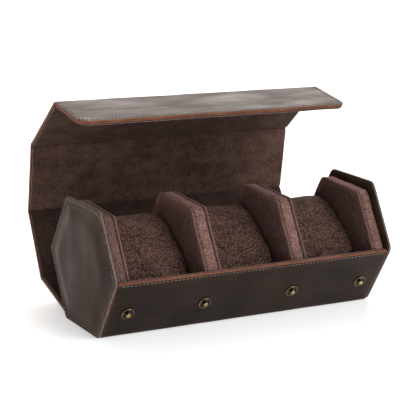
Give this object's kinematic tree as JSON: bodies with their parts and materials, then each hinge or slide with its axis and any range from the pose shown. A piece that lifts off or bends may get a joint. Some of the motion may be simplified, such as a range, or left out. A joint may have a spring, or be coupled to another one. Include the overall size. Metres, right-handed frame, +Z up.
{
  "type": "hexagonal leather watch roll",
  "caption": "Hexagonal leather travel roll for watches, with a folding wrap-round lid, press studs, padded dividers and loose lift-out pillows.",
  "frame": {"origin": "middle of the base panel's outer face, on the surface that the roll stands on", "axes": "+X along the roll, towards the right-hand end cap; +Y to the back, where the open lid hangs; +Z up"},
  "size_m": [0.229, 0.1514, 0.1497],
  "materials": {
    "outer_leather": "satin",
    "cap_leather": "satin",
    "edge_paint": "satin",
    "lining_suede": "matte",
    "pad_suede": "matte",
    "pillow_suede": "matte",
    "foam": "matte",
    "board": "matte",
    "snap_brass": "satin",
    "thread": "matte"
  },
  "bodies": {
    "trough": {"fold_front": "outer_leather", "leather_front": "outer_leather", "board_front": "board", "lining_front": "lining_suede", "leather_base": "outer_leather", "board_base": "board", "lining_base": "lining_suede", "fold_back_low": "outer_leather", "snap_stud_1": "snap_brass", "stud_post_1": "snap_brass", "snap_stud_2": "snap_brass", "stud_post_2": "snap_brass", "snap_stud_3": "snap_brass", "stud_post_3": "snap_brass", "snap_stud_4": "snap_brass", "stud_post_4": "snap_brass", "cap_leather_left": "cap_leather", "cap_padding_left": "foam", "cap_board_left": "board", "end_pad_cover_left": "pad_suede", "end_pad_core_left": "foam", "cap_leather_right": "cap_leather", "cap_padding_right": "foam", "cap_board_right": "board", "end_pad_cover_right": "pad_suede", "end_pad_core_right": "foam", "divider_cover_1": "pad_suede", "divider_core_1": "foam", "divider_cover_2": "pad_suede", "divider_core_2": "foam"},
    "lid_back_low": {"leather_back_low": "outer_leather", "board_back_low": "board", "lining_back_low": "lining_suede", "fold_back_high": "outer_leather"},
    "lid_back_high": {"leather_back_high": "outer_leather", "board_back_high": "board", "lining_back_high": "lining_suede", "fold_top": "outer_leather"},
    "lid_top": {"leather_top": "outer_leather", "board_top": "board", "lining_top": "lining_suede", "fold_brow": "outer_leather"},
    "lid_brow": {"leather_brow": "outer_leather", "board_brow": "board", "lining_brow": "lining_suede", "fold_flap": "outer_leather"},
    "lid_flap": {"leather_flap": "outer_leather", "board_flap": "board", "lining_flap": "lining_suede", "snap_socket_1": "snap_brass", "snap_socket_2": "snap_brass", "snap_socket_3": "snap_brass", "snap_socket_4": "snap_brass"},
    "pillow_1": {"pillow_cover_1": "pillow_suede", "pillow_core_1": "foam"},
    "pillow_2": {"pillow_cover_2": "pillow_suede", "pillow_core_2": "foam"},
    "pillow_3": {"pillow_cover_3": "pillow_suede", "pillow_core_3": "foam"}
  },
  "joints": [
    {"name": "fold_back_low", "type": "hinge", "parent": "trough", "child": "lid_back_low", "pos_m": [0, 0.02565, 0.0006], "axis": [-1, 0, 0], "range_deg": [-43, 17]},
    {"name": "fold_back_high", "type": "hinge", "parent": "lid_back_low", "child": "lid_back_high", "pos_m": [0, 0.07472, 0.0156], "axis": [-1, 0, 0], "range_deg": [-15, 45]},
    {"name": "fold_top", "type": "hinge", "parent": "lid_back_high", "child": "lid_top", "pos_m": [0, 0.09881, 0.0609], "axis": [-1, 0, 0], "range_deg": [-26, 34]},
    {"name": "fold_brow", "type": "hinge", "parent": "lid_top", "child": "lid_brow", "pos_m": [0, 0.09344, 0.11193], "axis": [-1, 0, 0], "range_deg": [-15.38, 42]},
    {"name": "fold_flap", "type": "hinge", "parent": "lid_brow", "child": "lid_flap", "pos_m": [0, 0.05216, 0.1491], "axis": [-1, 0, 0], "range_deg": [-10.62, 52]},
    {"name": "lift_pillow_1", "type": "slide", "parent": "trough", "child": "pillow_1", "axis": [0, -0.5736, 0.8192], "range_m": [0, 0.09]},
    {"name": "lift_pillow_2", "type": "slide", "parent": "trough", "child": "pillow_2", "axis": [0, -0.5736, 0.8192], "range_m": [0, 0.09]},
    {"name": "lift_pillow_3", "type": "slide", "parent": "trough", "child": "pillow_3", "axis": [0, -0.5736, 0.8192], "range_m": [0, 0.09]}
  ]
}
